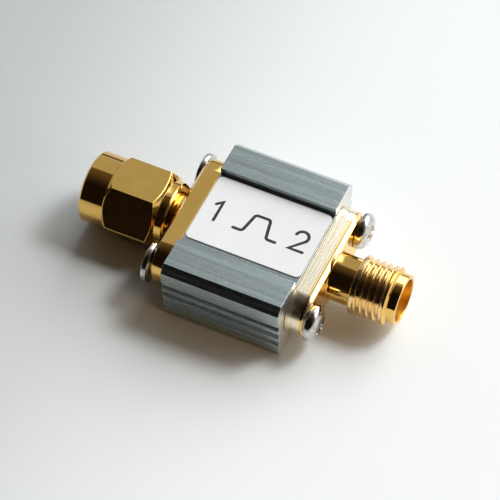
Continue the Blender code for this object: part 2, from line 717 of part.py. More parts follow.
def build_solder(name, side, parts, cutters, material):
    """Solder fillet over the end of a contact's tail, where it lies on the board."""
    shape = bmesh.new()
    bmesh.ops.create_uvsphere(shape, u_segments=16, v_segments=8, radius=1.0)
    half_sizes = Vector((SOLDER_LENGTH / 2, SOLDER_WIDTH / 2, SOLDER_HEIGHT))
    bmesh.ops.scale(shape, vec=half_sizes, verts=shape.verts)
    bmesh.ops.bisect_plane(shape, geom=shape.verts[:] + shape.edges[:] + shape.faces[:],
                           plane_co=(0, 0, 0), plane_no=(0, 0, 1), clear_inner=True)
    bmesh.ops.holes_fill(shape, edges=[e for e in shape.edges if e.is_boundary])
    fillet = add_object(name, mesh_from_bmesh(name, shape), parts, material)
    tip = side * (HOUSING_LENGTH / 2 - TAIL_REACH)
    fillet.location = (tip, 0.0, BOARD_TOP + SEAT_GAP)
    bore = add_object("tail_cutter",
                      cylinder_mesh("tail_cutter", TAIL_DIAMETER / 2 + SEAT_GAP,
                                    TAIL_REACH, SMALL_STEPS), cutters)
    along_axis(bore, side)
    bore.location.x = tip + side * (TAIL_REACH / 2 - SEAT_GAP)
    mark_cutter(bore)
    add_boolean(fillet, "DIFFERENCE", bore)
    return fillet


def main():
    clear_scene()
    parts = new_collection("rf_bandpass_filter")
    cutters = new_collection("cutters")
    aluminium = new_material("aluminium", (0.55, 0.57, 0.58), 0.42, 1.0)
    paper = new_material("white_label", (0.86, 0.86, 0.87), 0.6, 0.0)
    gold = new_material("gold_plate", (0.83, 0.61, 0.28), 0.18, 1.0)
    steel = new_material("screw_steel", (0.72, 0.72, 0.70), 0.2, 1.0)
    spring = new_material("spring_bronze", (0.6, 0.45, 0.25), 0.3, 1.0)
    insulator = new_material("white_insulator", (0.85, 0.85, 0.82), 0.5, 0.0)
    silicone = new_material("gasket_silicone", (0.55, 0.12, 0.07), 0.6, 0.0)
    laminate = new_material("board_laminate", (0.03, 0.2, 0.09), 0.5, 0.0)
    ceramic = new_material("chip_ceramic", (0.12, 0.12, 0.13), 0.5, 0.0)
    solder = new_material("solder", (0.6, 0.6, 0.6), 0.3, 1.0)

    build_housing(parts, cutters, aluminium)
    build_label(parts, paper)

    build_female_body(parts, cutters, gold)
    build_dielectric("female_dielectric", FEMALE_FACE_X, TOWARDS_FEMALE, parts, insulator)
    build_female_contact(parts, cutters, gold)

    build_male_body(parts, cutters, gold)
    build_dielectric("male_dielectric", MALE_FACE_X, TOWARDS_MALE, parts, insulator)
    build_male_pin(parts, gold)
    build_coupling_nut(parts, cutters, gold)
    build_retaining_ring(parts, cutters, spring)
    build_gasket(parts, silicone)

    screws = (("female_screw_front", TOWARDS_FEMALE, -1), ("female_screw_back", TOWARDS_FEMALE, 1),
              ("male_screw_front", TOWARDS_MALE, -1), ("male_screw_back", TOWARDS_MALE, 1))
    for (name, side, across), turn in zip(screws, SCREW_TURNS):
        build_screw(name, side, across, turn, parts, cutters, steel)

    build_board(parts, laminate)
    large = (FILTER_CHIP_LENGTH, FILTER_CHIP_WIDTH, FILTER_CHIP_HEIGHT)
    small = (SMALL_CHIP_LENGTH, SMALL_CHIP_WIDTH, SMALL_CHIP_WIDTH)
    build_chip("filter_chip", large, 0.0, 0.0, parts, ceramic)
    build_chip("input_inductor", small, -CHIP_OFFSET_X, CHIP_OFFSET_Y, parts, ceramic)
    build_chip("output_inductor", small, CHIP_OFFSET_X, CHIP_OFFSET_Y, parts, ceramic)
    build_chip("input_capacitor", small, -CHIP_OFFSET_X, -CHIP_OFFSET_Y, parts, ceramic)
    build_chip("output_capacitor", small, CHIP_OFFSET_X, -CHIP_OFFSET_Y, parts, ceramic)
    build_solder("input_solder", TOWARDS_MALE, parts, cutters, solder)
    build_solder("output_solder", TOWARDS_FEMALE, parts, cutters, solder)


main()
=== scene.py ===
"""Looks of the in-line band-pass filter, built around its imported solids.

X runs along the connectors from the male to the female end, Y away from the
camera and Z up, all in metres.
"""

import math

import bmesh
import bpy
from mathutils import Matrix, Vector


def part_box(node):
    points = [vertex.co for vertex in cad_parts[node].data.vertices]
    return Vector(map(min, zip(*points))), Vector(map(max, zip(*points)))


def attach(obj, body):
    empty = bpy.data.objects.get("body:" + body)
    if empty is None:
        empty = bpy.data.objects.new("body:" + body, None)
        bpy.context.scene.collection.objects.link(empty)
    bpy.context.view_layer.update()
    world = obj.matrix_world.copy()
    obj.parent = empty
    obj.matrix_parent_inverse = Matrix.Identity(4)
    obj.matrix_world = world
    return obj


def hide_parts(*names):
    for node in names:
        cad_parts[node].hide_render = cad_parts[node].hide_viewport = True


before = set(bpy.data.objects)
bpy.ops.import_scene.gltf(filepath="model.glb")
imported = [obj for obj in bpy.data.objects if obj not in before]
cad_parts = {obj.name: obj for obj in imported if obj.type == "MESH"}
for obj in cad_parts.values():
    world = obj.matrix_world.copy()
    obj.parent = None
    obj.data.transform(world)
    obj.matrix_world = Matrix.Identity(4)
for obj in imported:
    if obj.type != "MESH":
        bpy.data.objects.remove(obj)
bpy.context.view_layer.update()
MM = 0.001


# Places read from the frame
HOUSING_LOW, HOUSING_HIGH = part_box("housing")
LABEL_LOW, LABEL_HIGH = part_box("label")
AXIS_Z = (HOUSING_LOW.z + HOUSING_HIGH.z) / 2
HALF_LENGTH = HOUSING_HIGH.x
HALF_WIDTH = HOUSING_HIGH.y
FLANGE_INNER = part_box("female_body")[0].x
FEMALE_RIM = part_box("female_body")[1].x
MALE_FACE = -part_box("male_body")[0].x
NUT_FRONT = -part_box("coupling_nut")[0].x
NUT_REAR = -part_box("coupling_nut")[1].x
SCREW_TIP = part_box("female_screw_front")[0].x

# Camera, measured from the photograph
CAMERA_AZIMUTH = math.radians(27.254)
CAMERA_ELEVATION = math.radians(54.171)
CAMERA_ROLL = math.radians(-2.238)
CAMERA_DISTANCE = 265.09 * MM
CAMERA_AIM = Vector((0.0, 0.0, 3.99 * MM))
CAMERA_SHIFT = (0.841 * MM, 0.465 * MM)
SENSOR_WIDTH = 36.0
LENS = 182.63
CLIP_NEAR = 10 * MM
CLIP_FAR = 10.0

# Levels of the room's light, where 1 is white
WALL_LEVEL = 0.46
WINDOW_LEVEL = 3.8
DUSK_LEVEL = 0.11
FRONT_LEVEL = 0.008

# The room by its direction from the part: where each side of the wall and window fades in or out
WALL_NORMAL = (0.0, 0.933, -0.358)
WALL_EDGE = (-0.02, 0.03)
WALL_FOOT = (0.0, 0.06)
WALL_FOOT_SHARE = 0.3
DUSK_END = -0.75
WINDOW_LEFT = (-0.20, -0.12)
WINDOW_FRONT = (0.10, 0.52)
WINDOW_SILL = (0.14, 0.20)
WINDOW_HEAD = (0.76, 0.86)
WARM_TINT = (1.0, 0.76, 0.58)
COOL_TINT = (0.965, 0.995, 1.0)

# Lamps: name, place, size, power and colour
LAMPS = (("key", (0.19, 0.19, 0.34), 0.12, 0.79, (0.955, 0.985, 1.0)),
         ("fill", (0.20, -0.05, 0.11), 0.10, 0.10, (1.0, 0.66, 0.36)))

# Tabletop, painted with a shade that darkens it towards the left, and the dark card beside it
FLOOR_HALF = 1.5
FLOOR_LOW = (0.83, 0.86, 0.87)
FLOOR_HIGH = (0.87, 0.90, 0.91)
# Painted shade: the tabletop's colour at its darker left side
FLOOR_SHADED = (0.53, 0.55, 0.555)
FLOOR_ROUGHNESS = 0.6
FLOOR_SPECULAR = 0.2
SHADE_DIRECTION = (1.0, 0.05, 0.0)
SHADE_SPAN_MM = (-50.0, 0.0)
NUT_CLEARANCE = 0.01 * MM
HOUSING_CLEARANCE = 0.02 * MM
CARD_FOOT = ((-75 * MM, -60 * MM), (-75 * MM, 45 * MM), (-45 * MM, 85 * MM), (10 * MM, 100 * MM))
CARD_LOW = -5 * MM
CARD_HIGH = 10 * MM
CARD_DARK = (0.02, 0.015, 0.01)
CARD_LIGHT = (0.03, 0.022, 0.015)
CARD_ROUGHNESS = 0.8
CARD_SPECULAR = 0.1

# Reflected colours of the plating, the bar and the screws, and colours of the label film
GOLD_BRIGHT = (0.93, 0.585, 0.165)
GOLD_DEEP = (0.90, 0.55, 0.14)
# Painted highlight: pale gold laid along the milling lines of the flanges and the female thread
GOLD_PAINTED_HIGHLIGHT = (0.96, 0.90, 0.73)
# Painted shade: deeper orange inside the female bore, for the light that bounces in it
GOLD_BORE_PAINTED_SHADE = (0.82, 0.44, 0.07)
BAR_LOW = (0.385, 0.44, 0.442)
BAR_HIGH = (0.455, 0.525, 0.528)
BAR_RUBBED = (0.62, 0.67, 0.68)
SAWN_LOW = (0.70, 0.69, 0.67)
SAWN_HIGH = (0.88, 0.87, 0.85)
STEEL_BRIGHT = (0.68, 0.67, 0.64)
STEEL_DULL = (0.46, 0.44, 0.41)
FILM_LOW = (0.775, 0.785, 0.805)
FILM_HIGH = (0.83, 0.835, 0.85)

# Grains of the materials: features per mm on each axis, detail and roughness of the noise
RINGS = ((9.0, 0.35, 0.35), 4.0, 0.6)
CLOUDS = ((0.45, 0.45, 0.45), 4.0, 0.6)
SMUDGES = ((1.6, 1.6, 1.6), 5.0, 0.65)
MILLING = ((4.5, 0.04, 0.3), 3.0, 0.6)
STREAKS = ((0.10, 8.0, 8.0), 6.0, 0.65)
BANDS = ((0.04, 1.5, 1.5), 2.0, 0.5)
RUBS = ((0.9, 5.0, 5.0), 3.0, 0.55)
SAW = ((0.6, 0.5, 11.0), 4.0, 0.6)
FIBRES = ((6.0, 6.0, 6.0), 4.0, 0.5)
PATCHES = ((0.25, 0.25, 0.25), 3.0, 0.5)
SCRATCHES = ((5.0, 5.0, 5.0), 5.0, 0.65)
SPOTS = ((2.2, 2.2, 2.2), 3.0, 0.5)
FLOOR_GRAIN = ((0.02, 0.02, 0.02), 2.0, 0.5)
CARD_GRAIN = ((0.05, 0.05, 0.05), 2.0, 0.5)
PLAIN_DETAIL = (4.0, 0.5)

# Parts of a noise's range over which a material goes from one look to the other
CLOUD_SPAN = (0.35, 0.65)
HAZE_SPAN = (0.38, 0.62)
LINE_SPAN = (0.30, 0.62)
GRAIN_SPAN = (0.34, 0.66)
RUB_SPAN = (0.64, 0.70)
SPOT_SPAN = (0.35, 0.7)
WIDE_SPAN = (0.3, 0.7)
END_SPAN = (0.80, 0.95)

# Finishes: roughness from and to, added dullness, shares, and heights of the grain
POLISHED = (0.05, 0.11)
HANDLED = (0.06, 0.13)
BAR_ROUGHNESS = (0.20, 0.34)
BAR_MIDDLE_ROUGHNESS = 0.28
STEEL_ROUGHNESS = (0.10, 0.24)
STEEL_MIDDLE_ROUGHNESS = 0.14
FILM_ROUGHNESS = 0.42
FILM_SPECULAR = 0.35
PLAIN_ROUGHNESS = (0.85, 1.2)
ZONE_DULLNESS = 0.16
BORE_DULLNESS = 0.26
SAWN_DULLNESS = 0.08
# Share of the painted highlight kept between the milling lines, against its full share on them
LINE_SHARE = 0.55
BAND_SHARE = 0.45
RUB_SHARE = 0.6
TURNING_HEIGHT_MM = 0.0004
FEMALE_LINE_HEIGHT_MM = 0.02
MALE_LINE_HEIGHT_MM = 0.004
BAR_HEIGHT = 0.006 * MM
FILM_HEIGHT = 0.002 * MM
STEEL_HEIGHT = 0.008 * MM
PLAIN_HEIGHT = 0.002 * MM

# Materials of the smaller and inner pieces: two colours, grain per mm, roughness and metallic
PLAIN_MATERIALS = {
    "label_ink": ((0.012, 0.012, 0.014), (0.03, 0.03, 0.033), 9.0, 0.4, 0.0),
    "insulator": ((0.78, 0.78, 0.75), (0.86, 0.86, 0.83), 3.0, 0.45, 0.0),
    "silicone": ((0.42, 0.05, 0.03), (0.55, 0.09, 0.05), 3.0, 0.6, 0.0),
    "laminate": ((0.01, 0.12, 0.05), (0.02, 0.17, 0.08), 2.0, 0.4, 0.0),
    "chip_ceramic": ((0.04, 0.04, 0.045), (0.09, 0.09, 0.10), 6.0, 0.5, 0.0),
    "solder_metal": ((0.55, 0.55, 0.54), (0.7, 0.7, 0.69), 4.0, 0.25, 1.0),
    "spring_bronze": ((0.45, 0.27, 0.12), (0.55, 0.36, 0.18), 4.0, 0.3, 1.0),
}

# Edges and facets of the detailed pieces
EDGE = 0.04 * MM
ROUND_STEPS = 144
SCREW_STEPS = 64
HOLE_STEPS = 48
SCREW_HOLE_STEPS = 32
PIECE_SHARP = math.radians(38)
NODE_SHARP = math.radians(35)
STRAIGHT = math.radians(172)
MERGE_DISTANCE = 0.0002 * MM
SMALLEST_EDGE = 0.0001 * MM
SAME_POINT = 0.001 * MM
FILLET_SHARE = 0.45
LEAST_INSET_STRETCH = 0.3
LEAST_STROKE_STRETCH = 0.5

# Housing section
TOP_CHAMFER = 0.8 * MM
BASE_CHAMFER = 0.3 * MM
CHANNEL_WIDTH = 10.0 * MM
CHANNEL_DEPTH = 0.85 * MM
GROOVE_COUNT = 3
GROOVE_PITCH = 1.3 * MM
GROOVE_MOUTH = 0.9 * MM
GROOVE_DEPTH = 0.26 * MM
GROOVE_FLAT = 0.12 * MM
FIRST_GROOVE_DROP = 2.95 * MM
CAVITY_WIDTH = 8.2 * MM
CAVITY_HEIGHT = 4.4 * MM
CAVITY_CORNER = 0.5 * MM
SLOT_DEPTH = 0.35 * MM
SLOT_LOW = 2.57 * MM
SLOT_HIGH = 3.45 * MM
SCREW_HOLE_RADIUS = 1.04 * MM
HOUSING_EDGE = 0.07 * MM
END_EDGE = 0.045 * MM

# Label, and its marks by points in mm about their own middles
LABEL_CORNER = 0.55 * MM
LABEL_EDGE = 0.03 * MM
INK_WIDTH = 0.34 * MM
INK_SINK = 0.004 * MM
INK_RISE = 0.008 * MM
DIGIT_X = 4.7
DIGIT_ONE = [(-0.55, 0.75), (0.05, 1.25), (0.05, -1.25)]
DIGIT_TWO_BOW = ((0.0, 0.55), 0.7, 170, -38)
DIGIT_TWO_FOOT = [(-0.75, -1.25), (0.8, -1.25)]
PASS_BAND = [(-2.4, -1.25), (-1.35, -1.25), (-0.85, 1.15), (0.85, 1.15), (1.35, -1.25),
             (2.4, -1.25)]
PASS_BAND_ROUND = 0.35

# Flanges and screws
FLANGE_THICKNESS = 2.2 * MM
FLANGE_CHAMFER = 0.4 * MM
FLANGE_HEIGHT = 5.72 * MM
FLANGE_WIDTH = 15.9 * MM
FLANGE_EDGE = 0.06 * MM
FLANGE_FALL = 0.08 * MM
FLANGE_OUTER = FLANGE_INNER + FLANGE_THICKNESS
INNER_FACE_INSET = 0.6 * MM
OUTER_FACE_INSET = 1.0 * MM
# Length of the painted highlight on the female flange's plate
HIGHLIGHT_PLATE_LENGTH = 1.62 * MM
SCREW_Y = 6.35 * MM
SHANK_RADIUS = 1.0 * MM
SHANK_CHAMFER = 0.3 * MM
FLANGE_HOLE_RADIUS = SHANK_RADIUS + 0.15 * MM
SCREW_END_ROOM = 0.12 * MM
SEAT_GAP = 0.04 * MM
HEAD_EDGE = 0.05 * MM
HEAD_STEPS = 14
DOME_FULLNESS = 0.8
RECESS_SPAN = 2.2 * MM
RECESS_WIDTH = 0.5 * MM
RECESS_FOOT = (0.5 * RECESS_SPAN, 0.75 * RECESS_WIDTH)
RECESS_MOUTH = (1.5 * RECESS_SPAN, 1.25 * RECESS_WIDTH)
RECESS_REACH = 0.8 * RECESS_SPAN
RECESS_CORNER = 0.1 * MM
RECESS_EDGE = 0.03 * MM
RECESS_SHARP = math.radians(30)

# Screw heads: radius, height, height of the rim, depth of the recess, and whether domed
DOMED_HEAD = (2.0 * MM, 1.25 * MM, 0.4 * MM, 0.75 * MM, True)
LOW_HEAD = (2.25 * MM, 0.6 * MM, 0.48 * MM, 0.4 * MM, False)

# Screws: node, end along X, side along Y, turn of the recess in degrees, and head
SCREWS = (("female_screw_front", 1, -1, 20, DOMED_HEAD), ("female_screw_back", 1, 1, 65, DOMED_HEAD),
          ("male_screw_front", -1, -1, 40, LOW_HEAD), ("male_screw_back", -1, 1, 8, LOW_HEAD))

# Coaxial interfaces
LINE_RADIUS = 2.08 * MM
OPENING_RADIUS = 2.34 * MM
THREAD_RADIUS = 3.175 * MM
THREAD_PITCH = 25.4 / 36 * MM
THREAD_DEPTH = 0.38 * MM
THREAD_FADE = 0.30 * MM
THREAD_FLAT = THREAD_PITCH / 16
THREAD_FLANK = math.pi / 6
THREAD_ROUND = 0.03 * MM
BARREL_RADIUS = 2.6 * MM
BARREL_LENGTH = 2.65 * MM
BARREL_FILLET = 0.16 * MM
FILLET_STEPS = 5
COLLAR_X = FLANGE_OUTER + BARREL_LENGTH
COLLAR_LENGTH = 0.35 * MM
COLLAR_FOOT_ROUND = 0.06 * MM
COLLAR_ROUND = 0.12 * MM
THREAD_X = COLLAR_X + COLLAR_LENGTH
NOSE_LENGTH = 1.2 * MM
NOSE_X = FEMALE_RIM - NOSE_LENGTH
NOSE_RADIUS = 2.72 * MM
NOSE_FOOT_ROUND = 0.05 * MM
RIM_ROUND = 0.1 * MM
THREAD_END = NOSE_X - 0.05 * MM
BORE_RADIUS = 2.3 * MM
BORE_DEPTH = 1.95 * MM
JOURNAL_RADIUS = 2.62 * MM
SHELL_RADIUS = 2.275 * MM
RING_GROOVE_OFFSET = 2.14 * MM
RING_GROOVE_X = NUT_REAR + RING_GROOVE_OFFSET
RING_WIDTH = 0.5 * MM
RING_GROOVE_RADIUS = 2.33 * MM
SHELL_LENGTH = 2.8 * MM

# Coupling nut
NUT_HALF_FLATS = 4.0 * MM
NUT_CORNER = NUT_HALF_FLATS / math.cos(math.pi / 6)
NUT_NOSE_RADIUS = 3.94 * MM
NUT_NOSE_LENGTH = 2.8 * MM
NUT_NOSE_CHAMFER = 0.22 * MM
NUT_FRONT_SLOPE = 0.85 * MM
NUT_REAR_SLOPE = 0.6 * MM
NUT_BOSS_RADIUS = 3.6 * MM
NUT_BOSS_LENGTH = 1.0 * MM
NUT_BOSS_CHAMFER = 0.2 * MM
NUT_HOLE_RADIUS = 2.67 * MM
NUT_RING_RADIUS = 2.95 * MM
NUT_RELIEF_RADIUS = 3.25 * MM
NUT_RELIEF_LENGTH = 1.82 * MM
NUT_THREAD_LENGTH = 4.4 * MM
NUT_LIP_LENGTH = 0.5 * MM
NUT_TURN = math.radians(-1.5)
NUT_EDGE = 0.07 * MM
NUT_SHARP = math.radians(14)
CORNER_ROOM = 0.1 * MM
BLOCK_ROOM = 1.0 * MM
FLATS_ROOM = 0.02 * MM
RUNNING_GAP = 0.05 * MM


def add_camera():
    """A camera that looks at the part from the front, above and a little to the right."""
    flat = math.cos(CAMERA_ELEVATION)
    back = Vector((math.sin(CAMERA_AZIMUTH) * flat, -math.cos(CAMERA_AZIMUTH) * flat,
                   math.sin(CAMERA_ELEVATION)))
    right = Vector((0, 0, 1)).cross(back).normalized()
    up = back.cross(right)
    across = right * math.cos(CAMERA_ROLL) + up * math.sin(CAMERA_ROLL)
    upward = up * math.cos(CAMERA_ROLL) - right * math.sin(CAMERA_ROLL)
    place = (CAMERA_AIM - across * CAMERA_SHIFT[0] - upward * CAMERA_SHIFT[1]
             + back * CAMERA_DISTANCE)
    data = bpy.data.cameras.new("camera")
    data.sensor_width = SENSOR_WIDTH
    data.lens = LENS
    data.clip_start = CLIP_NEAR
    data.clip_end = CLIP_FAR
    camera = bpy.data.objects.new("camera", data)
    bpy.context.scene.collection.objects.link(camera)
    matrix = Matrix((across, upward, back)).transposed().to_4x4()
    matrix.translation = place
    camera.matrix_world = matrix
    bpy.context.scene.camera = camera


class Nodes:
    """Short calls for building one node tree."""

    def __init__(self, tree):
        self.tree = tree

    def feed(self, node, key, value):
        """Link a socket to one of the node's inputs, or write a value on the input itself."""
        if isinstance(value, bpy.types.NodeSocket):
            self.tree.links.new(value, node.inputs[key])
        else:
            node.inputs[key].default_value = value

    def add(self, kind, inputs=None, **settings):
        node = self.tree.nodes.new(kind)
        for name, value in settings.items():
            setattr(node, name, value)
        for key, value in (inputs or {}).items():
            self.feed(node, key, value)
        return node

    def math(self, operation, a, b=0.0):
        return self.add("ShaderNodeMath", {0: a, 1: b}, operation=operation).outputs[0]

    def vector(self, operation, a, b=(0.0, 0.0, 0.0), output="Vector"):
        node = self.add("ShaderNodeVectorMath", {0: a, 1: b}, operation=operation)
        return node.outputs[output]

    def dot(self, vector, direction):
        return self.vector("DOT_PRODUCT", vector, direction, "Value")

    def ramp(self, value, low, high, to_low=0.0, to_high=1.0):
        """Go smoothly from one level to another while the value goes from low to high."""
        return self.add("ShaderNodeMapRange", {"Value": value, "From Min": low, "From Max": high,
                                               "To Min": to_low, "To Max": to_high},
                        interpolation_type="SMOOTHSTEP").outputs["Result"]

    def blend(self, share, a, b):
        """Mix two plain values."""
        return self.add("ShaderNodeMix", {0: share, 2: a, 3: b}, data_type="FLOAT").outputs[0]

    def mix(self, share, a, b):
        """Mix two colours, each a socket or three numbers."""
        node = self.add("ShaderNodeMix", {0: share}, data_type="RGBA")
        for key, value in ((6, a), (7, b)):
            self.feed(node, key, value if isinstance(value, bpy.types.NodeSocket) else (*value, 1.0))
        return node.outputs[2]

    def coordinates(self, scale=(1.0, 1.0, 1.0)):
        """Object coordinates in millimetres, with each axis scaled for its own grain."""
        place = self.add("ShaderNodeTexCoord").outputs["Object"]
        return self.vector("MULTIPLY", place, tuple(v / MM for v in scale))

    def noise(self, grain, detail, roughness):
        """Noise over the object, with the grain's features per mm on each axis."""
        return self.add("ShaderNodeTexNoise", {"Vector": self.coordinates(grain), "Scale": 1.0,
                                               "Detail": detail, "Roughness": roughness},
                        ).outputs["Fac"]


def new_material(name, roughness, metallic=0.0, **constants):
    """A material with its nodes and shader. Constants name sockets, with _ for a space."""
    material = bpy.data.materials.new(name)
    material.use_nodes = True
    tree = material.node_tree
    tree.nodes.clear()
    nodes = Nodes(tree)
    shader = nodes.add("ShaderNodeBsdfPrincipled")
    output = nodes.add("ShaderNodeOutputMaterial")
    tree.links.new(shader.outputs[0], output.inputs[0])
    shader.inputs["Metallic"].default_value = metallic
    shader.inputs["Roughness"].default_value = roughness
    for socket, value in constants.items():
        shader.inputs[socket.replace("_", " ")].default_value = value
    return material, nodes, shader


def bump(nodes, shader, height, depth):
    """Raise the surface by a height from 0 to 1 times a depth in metres."""
    node = nodes.add("ShaderNodeBump", {"Height": height, "Strength": 1.0, "Distance": depth})
    nodes.feed(shader, "Normal", node.outputs[0])


def gold_material(name, roughness, highlight_zones=(), line_height=0.0, bore=0.0):
    """Gold plate with faint turning marks, cloudy thickness and smudges.

    A highlight zone is a stretch of the axis, given as start, end and share, that carries a painted
    highlight: paler gold along milling lines, which also score and roughen the zone. Its lines run
    across the flange. The bore, of the radius given, is duller and carries a painted shade, a deeper
    orange for the light that bounces inside it.
    """
    material, nodes, shader = new_material(name, roughness[0], metallic=1.0)
    place = nodes.add("ShaderNodeTexCoord").outputs["Object"]
    along = nodes.math("ABSOLUTE", nodes.add("ShaderNodeSeparateXYZ", {0: place}).outputs["X"])
    rings = nodes.noise(*RINGS)
    lines = nodes.noise(*MILLING)
    colour = nodes.mix(nodes.ramp(nodes.noise(*CLOUDS), *CLOUD_SPAN), GOLD_BRIGHT, GOLD_DEEP)
    rough = nodes.ramp(nodes.blend(0.5, rings, nodes.noise(*SMUDGES)), *HAZE_SPAN, *roughness)
    height = nodes.math("MULTIPLY", rings, TURNING_HEIGHT_MM)
    for start, end, share in highlight_zones:
        zone = nodes.math("MULTIPLY", nodes.ramp(along, start, start + 2 * EDGE),
                          nodes.ramp(along, end - 2 * EDGE, end, 1.0, 0.0))
        # Painted highlight: paler gold along the milling lines within the zone
        highlight_share = nodes.math("MULTIPLY", zone,
                          nodes.ramp(lines, *LINE_SPAN, LINE_SHARE * share, share))
        scored = nodes.math("MULTIPLY", nodes.math("MULTIPLY", lines, zone), line_height)
        colour = nodes.mix(highlight_share, colour, GOLD_PAINTED_HIGHLIGHT)
        rough = nodes.math("ADD", rough, nodes.math("MULTIPLY", zone, ZONE_DULLNESS * share))
        height = nodes.math("ADD", height, scored)
    if bore:
        offset = nodes.vector("MULTIPLY", nodes.vector("ADD", place, (0.0, 0.0, -AXIS_Z)),
                              (0.0, 1.0, 1.0))
        radius = nodes.vector("LENGTH", offset, output="Value")
        inside = nodes.ramp(radius, bore + EDGE / 4, bore + EDGE / 2, 1.0, 0.0)
        rough = nodes.math("ADD", rough, nodes.math("MULTIPLY", inside, BORE_DULLNESS))
        # Painted shade: the bore's gold is painted a deeper orange
        colour = nodes.mix(inside, colour, GOLD_BORE_PAINTED_SHADE)
    nodes.feed(shader, "Base Color", colour)
    nodes.feed(shader, "Roughness", rough)
    bump(nodes, shader, height, MM)
    return material


def aluminium_material():
    """Drawn aluminium: long streaks along the bar, short rubs, and sawn ends."""
    material, nodes, shader = new_material("drawn_aluminium", BAR_MIDDLE_ROUGHNESS, metallic=1.0)
    streaks = nodes.noise(*STREAKS)
    grain = nodes.blend(BAND_SHARE, streaks, nodes.noise(*BANDS))
    rubbed = nodes.math("MULTIPLY", nodes.ramp(nodes.noise(*RUBS), *RUB_SPAN), RUB_SHARE)
    saw = nodes.noise(*SAW)
    facing = nodes.add("ShaderNodeNewGeometry").outputs["Normal"]
    ends = nodes.ramp(nodes.math("ABSOLUTE", nodes.dot(facing, (1.0, 0.0, 0.0))), *END_SPAN)
    along = nodes.mix(nodes.ramp(grain, *GRAIN_SPAN), BAR_LOW, BAR_HIGH)
    along = nodes.mix(rubbed, along, BAR_RUBBED)
    across = nodes.mix(nodes.ramp(saw, *CLOUD_SPAN), SAWN_LOW, SAWN_HIGH)
    rough = nodes.ramp(grain, *WIDE_SPAN, *BAR_ROUGHNESS)
    rough = nodes.math("ADD", rough, nodes.math("MULTIPLY", ends, SAWN_DULLNESS))
    nodes.feed(shader, "Base Color", nodes.mix(ends, along, across))
    nodes.feed(shader, "Roughness", rough)
    bump(nodes, shader, nodes.blend(ends, streaks, saw), BAR_HEIGHT)
    return material


def label_material():
    """White film with a faint fibre grain and slightly greyer patches."""
    material, nodes, shader = new_material("label_film", FILM_ROUGHNESS,
                                           Specular_IOR_Level=FILM_SPECULAR)
    fibres = nodes.noise(*FIBRES)
    tone = nodes.blend(0.5, fibres, nodes.noise(*PATCHES))
    nodes.feed(shader, "Base Color", nodes.mix(nodes.ramp(tone, *CLOUD_SPAN), FILM_LOW, FILM_HIGH))
    bump(nodes, shader, fibres, FILM_HEIGHT)
    return material


def steel_material():
    """Bright nickel-plated steel with fine scratches and small dull spots."""
    material, nodes, shader = new_material("bright_steel", STEEL_MIDDLE_ROUGHNESS, metallic=1.0)
    scratches = nodes.noise(*SCRATCHES)
    spots = nodes.ramp(nodes.noise(*SPOTS), *SPOT_SPAN)
    nodes.feed(shader, "Base Color", nodes.mix(spots, STEEL_BRIGHT, STEEL_DULL))
    nodes.feed(shader, "Roughness", nodes.ramp(scratches, *WIDE_SPAN, *STEEL_ROUGHNESS))
    bump(nodes, shader, scratches, STEEL_HEIGHT)
    return material


def plain_material(name, low, high, grain, roughness, metallic):
    """A two-tone grained material for the smaller and inner pieces."""
    material, nodes, shader = new_material(name, roughness, metallic)
    spots = nodes.noise((grain, grain, grain), *PLAIN_DETAIL)
    limits = [roughness * share for share in PLAIN_ROUGHNESS]
    nodes.feed(shader, "Base Color", nodes.mix(spots, low, high))
    nodes.feed(shader, "Roughness", nodes.ramp(spots, *WIDE_SPAN, *limits))
    bump(nodes, shader, spots, PLAIN_HEIGHT)
    return material


def add_world():
    """A dark warm room with a pale wall behind the part and a bright window to its right."""
    world = bpy.data.worlds.new("studio")
    bpy.context.scene.world = world
    world.use_nodes = True
    tree = world.node_tree
    tree.nodes.clear()
    nodes = Nodes(tree)
    towards = nodes.add("ShaderNodeTexCoord").outputs["Generated"]
    parts = nodes.add("ShaderNodeSeparateXYZ", {"Vector": towards}).outputs
    depth = nodes.dot(towards, WALL_NORMAL)
    behind = nodes.ramp(depth, *WALL_EDGE)
    above = nodes.ramp(parts["Z"], *WALL_FOOT, WALL_FOOT_SHARE, 1.0)
    wall = nodes.math("MULTIPLY", nodes.math("MULTIPLY", behind, above), WALL_LEVEL)
    dusk = nodes.ramp(depth, DUSK_END, WALL_EDGE[0], FRONT_LEVEL, DUSK_LEVEL)
    dusk = nodes.math("MULTIPLY", dusk, nodes.math("SUBTRACT", 1.0, behind))
    sides = nodes.math("MULTIPLY", nodes.ramp(parts["X"], *WINDOW_LEFT),
                       nodes.ramp(parts["Y"], *WINDOW_FRONT))
    heights = nodes.math("MULTIPLY", nodes.ramp(parts["Z"], *WINDOW_SILL),
                         nodes.ramp(parts["Z"], *WINDOW_HEAD, 1.0, 0.0))
    window = nodes.math("MULTIPLY", nodes.math("MULTIPLY", sides, heights), WINDOW_LEVEL)
    light = nodes.math("ADD", nodes.math("ADD", wall, dusk), window)
    cool = nodes.math("MAXIMUM", behind, nodes.math("MINIMUM", window, 1.0))
    tint = nodes.mix(cool, WARM_TINT, COOL_TINT)
    background = nodes.add("ShaderNodeBackground", {"Color": tint, "Strength": light})
    output = nodes.add("ShaderNodeOutputWorld")
    tree.links.new(background.outputs[0], output.inputs[0])


def as_object(name, shape):
    """Turn a shape into an object in the scene."""
    mesh = bpy.data.meshes.new(name)
    shape.to_mesh(mesh)
    shape.free()
    made = bpy.data.objects.new(name, mesh)
    bpy.context.scene.collection.objects.link(made)
    return made


def area_lamp(name, place, size, power, colour):
    """A soft round lamp aimed at the part, which glossy surfaces don't show."""
    data = bpy.data.lights.new(name, "AREA")
    data.shape = "DISK"
    data.size = size
    data.energy = power
    data.color = colour
    lamp = bpy.data.objects.new(name, data)
    bpy.context.scene.collection.objects.link(lamp)
    lamp.location = place
    lamp.rotation_euler = (CAMERA_AIM - Vector(place)).to_track_quat("-Z", "Y").to_euler()
    lamp.visible_glossy = False


